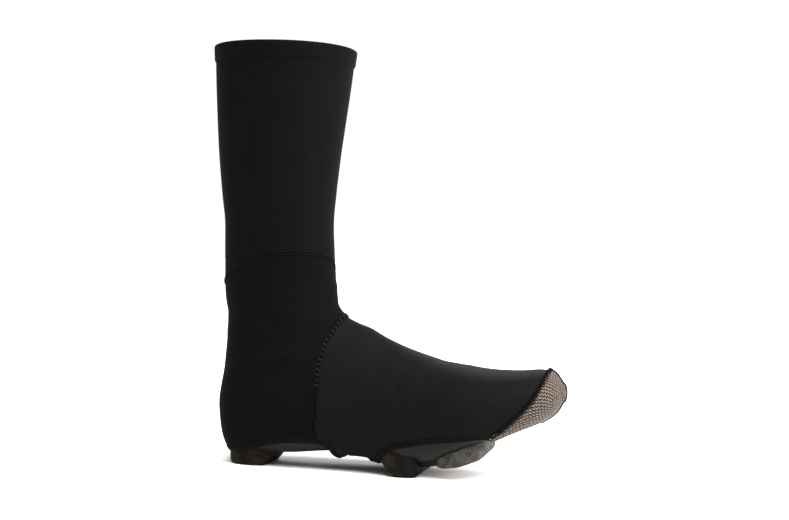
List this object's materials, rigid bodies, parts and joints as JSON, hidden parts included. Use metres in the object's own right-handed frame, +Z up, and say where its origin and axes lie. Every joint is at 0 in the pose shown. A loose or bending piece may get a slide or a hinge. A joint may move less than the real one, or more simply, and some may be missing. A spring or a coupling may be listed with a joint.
{
  "type": "cycling overshoe",
  "caption": "Tall left-foot neoprene cycling overshoe, hollow and open at the collar, on the cleated sole of the shoe it covers.",
  "frame": {"origin": "middle of the shoe's box, on the floor that the sole stands on", "axes": "+X from heel to toe, +Y to the outer side of the left foot, +Z up"},
  "size_m": [0.3142, 0.1156, 0.36],
  "materials": {
    "neoprene": "matt laminated neoprene with a fine knit face",
    "dotted_cloth": "dark cloth covered with small beige rubber dots",
    "trim": "matt black binding",
    "seam_thread": "flatlock thread",
    "hard_sole": "satin moulded nylon",
    "felt": "felted insole cloth",
    "tread_rubber": "matt worn rubber",
    "cleat_steel": "blackened steel",
    "bolt_brass": "brass-coloured plating"
  },
  "bodies": {
    "root": {"upper": "neoprene", "toe_cap_inner": "dotted_cloth", "toe_cap_outer": "dotted_cloth", "collar_hem": "trim", "heel_hem": "trim", "forefoot_hem": "trim", "back_seam": "seam_thread", "ankle_seam": "seam_thread", "instep_seam": "seam_thread", "sole_plate": "hard_sole", "insole": "felt", "heel_pad": "tread_rubber", "ball_pad": "tread_rubber", "toe_pad": "tread_rubber", "cleat": "cleat_steel", "cleat_bolt_rear": "bolt_brass", "cleat_bolt_front": "bolt_brass"}
  },
  "joints": []
}
